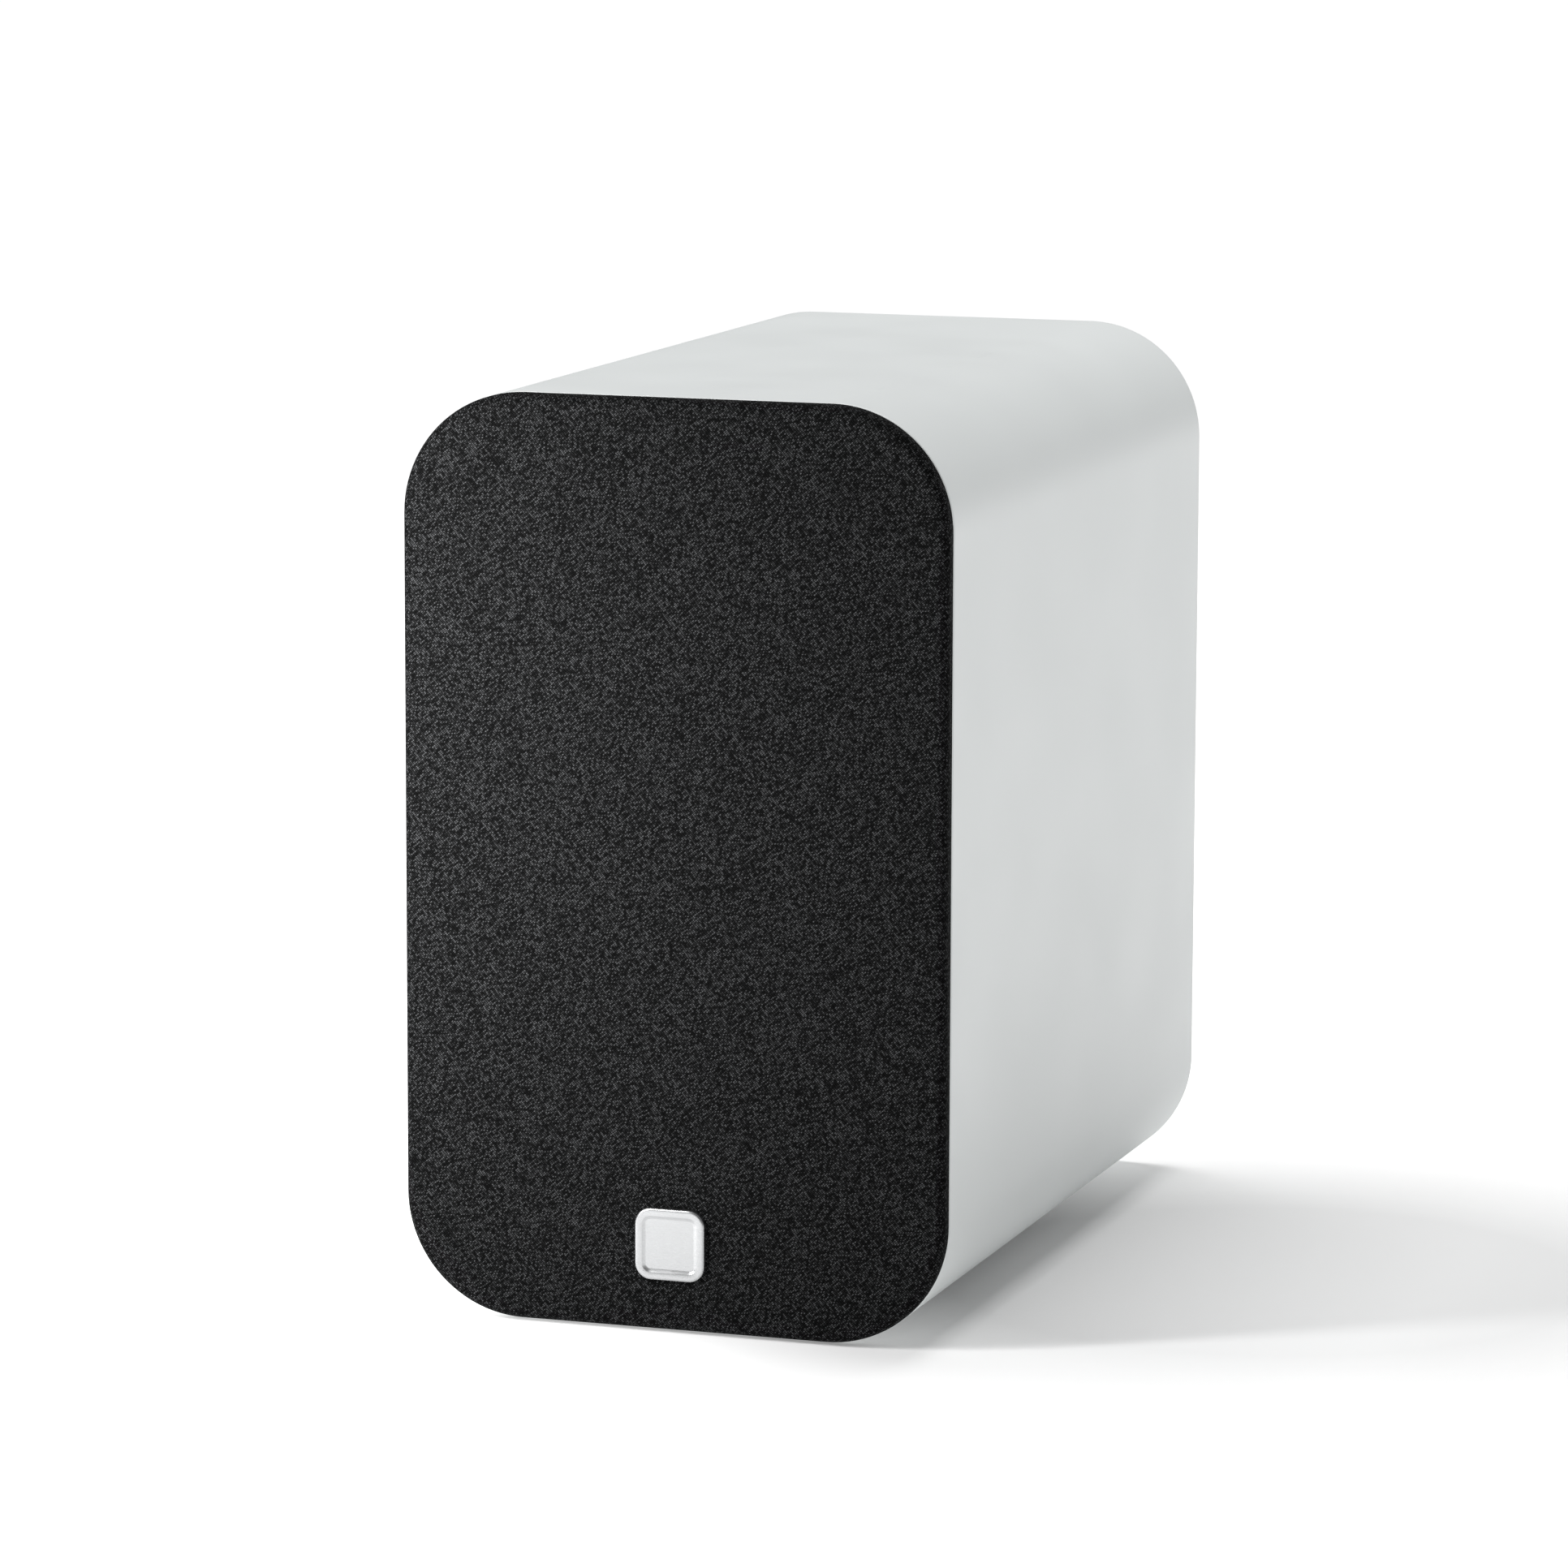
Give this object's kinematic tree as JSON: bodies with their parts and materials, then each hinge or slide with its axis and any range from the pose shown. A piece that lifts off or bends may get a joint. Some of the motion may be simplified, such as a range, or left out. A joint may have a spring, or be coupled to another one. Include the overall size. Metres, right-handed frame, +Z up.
{
  "type": "bookshelf speaker",
  "caption": "Compact two-way bookshelf speaker: rounded white cabinet, pull-off black cloth grille, woofer, dome tweeter, crossover, rear port and screw terminals.",
  "frame": {"origin": "on the surface it stands on, under the middle of the whole speaker, grille included", "axes": "+Z up, the grille faces -Y, the terminals face +Y, +X to the right seen from the front"},
  "size_m": [0.17, 0.2818, 0.2805],
  "materials": {
    "cabinet_paint": "satin white paint on shaped board",
    "fibreboard": "bare medium-density fibreboard",
    "panel_paint": "satin white paint on flat board",
    "grille_cloth": "woven twill",
    "grille_frame": "moulded frame",
    "badge": "fine brushed, anodised",
    "black_plastic": "fine moulded grain",
    "port_plastic": "fine moulded grain",
    "cone_paper": "coated pulp",
    "surround_rubber": "matt",
    "cast_basket": "powder coat",
    "trim_metal": "satin",
    "tweeter_cloth": "doped silk",
    "spider_cloth": "resin-stiffened",
    "ferrite": "sintered",
    "plated_steel": "bright zinc",
    "black_screw": "black oxide",
    "magnet_nickel": "nickel plate",
    "copper": "enamelled copper",
    "gold_brass": "gold plate",
    "bare_brass": "turned",
    "red_plastic": "gloss",
    "knob_black": "gloss",
    "foot_rubber": "soft",
    "gasket_foam": "closed-cell foam",
    "board_fibre": "glass-fibre laminate",
    "bobbin_nylon": "moulded nylon",
    "capacitor_film": "wrapped film, resin ends",
    "resistor_ceramic": "cement-filled",
    "lead_pvc": "insulated wire",
    "tinsel": "braided copper",
    "polyester_wadding": "carded fibre"
  },
  "bodies": {
    "cabinet": {"cabinet_shell": "cabinet_paint", "front_baffle": "panel_paint", "back_panel": "panel_paint", "shelf_brace": "fibreboard", "baffle_magnets": "magnet_nickel", "feet": "foot_rubber", "bracket_inserts": "bare_brass", "port_tube": "port_plastic", "terminal_cup": "black_plastic", "terminal_cup_screws": "black_screw", "red_post": "gold_brass", "black_post": "gold_brass", "post_bases": "black_plastic", "post_nuts": "plated_steel", "solder_tags": "gold_brass", "woofer_basket": "cast_basket", "woofer_gasket": "gasket_foam", "woofer_screws": "black_screw", "woofer_trim_ring": "trim_metal", "woofer_top_plate": "plated_steel", "woofer_magnet": "ferrite", "woofer_yoke": "plated_steel", "woofer_terminal_board": "board_fibre", "push_on_tabs": "gold_brass", "tweeter_faceplate": "black_plastic", "tweeter_gasket": "gasket_foam", "tweeter_screws": "black_screw", "tweeter_top_plate": "plated_steel", "tweeter_magnet": "ferrite", "tweeter_yoke": "plated_steel", "tweeter_rear_chamber": "black_plastic", "board_standoffs": "bobbin_nylon", "crossover_board": "board_fibre", "board_screws": "plated_steel", "inductor_bobbins": "bobbin_nylon", "inductor_windings": "copper", "film_capacitors": "capacitor_film", "power_resistors": "resistor_ceramic", "woofer_leads": "lead_pvc", "tweeter_leads": "lead_pvc", "input_leads": "lead_pvc", "wadding": "polyester_wadding"},
    "grille": {"grille_frame": "grille_frame", "grille_cloth": "grille_cloth", "grille_magnets": "magnet_nickel", "badge": "badge"},
    "woofer_cone_assembly": {"woofer_cone": "cone_paper", "woofer_dust_cap": "cone_paper", "woofer_coil_former": "bobbin_nylon", "woofer_coil": "copper", "woofer_surround": "surround_rubber", "woofer_spider": "spider_cloth", "tinsel_leads": "tinsel"},
    "tweeter_dome_assembly": {"tweeter_dome": "tweeter_cloth", "tweeter_coil": "copper", "tweeter_surround": "tweeter_cloth"},
    "red_clamp": {"red_washer": "red_plastic"},
    "red_knob_body": {"red_knob": "red_plastic"},
    "black_clamp": {"black_washer": "knob_black"},
    "black_knob_body": {"black_knob": "knob_black"}
  },
  "joints": [
    {"name": "grille_pull", "type": "slide", "parent": "cabinet", "child": "grille", "axis": [0, -1, 0], "range_m": [0, 0.08]},
    {"name": "woofer_stroke", "type": "slide", "parent": "cabinet", "child": "woofer_cone_assembly", "axis": [0, -1, 0], "range_m": [-0.004, 0.004], "stiffness_N_per_m": 900, "deforming": ["woofer_surround", "woofer_spider", "tinsel_leads"]},
    {"name": "tweeter_stroke", "type": "slide", "parent": "cabinet", "child": "tweeter_dome_assembly", "axis": [0, -1, 0], "range_m": [-0.0005, 0.0005], "stiffness_N_per_m": 400, "deforming": ["tweeter_surround"]},
    {"name": "red_clamp_slide", "type": "slide", "parent": "cabinet", "child": "red_clamp", "axis": [0, 1, 0], "range_m": [0, 0.0035]},
    {"name": "red_knob_turn", "type": "hinge", "parent": "red_clamp", "child": "red_knob_body", "pos_m": [-0.015, 0.1299, 0.062], "axis": [0, 1, 0], "range_deg": [0, 1700]},
    {"name": "black_clamp_slide", "type": "slide", "parent": "cabinet", "child": "black_clamp", "axis": [0, 1, 0], "range_m": [0, 0.0035]},
    {"name": "black_knob_turn", "type": "hinge", "parent": "black_clamp", "child": "black_knob_body", "pos_m": [0.015, 0.1299, 0.062], "axis": [0, 1, 0], "range_deg": [0, 1700]}
  ],
  "couplings": [
    {"joint": "red_knob_turn", "follows": "red_clamp_slide", "rad_per_m": 8377.6},
    {"joint": "black_knob_turn", "follows": "black_clamp_slide", "rad_per_m": 8377.6}
  ]
}
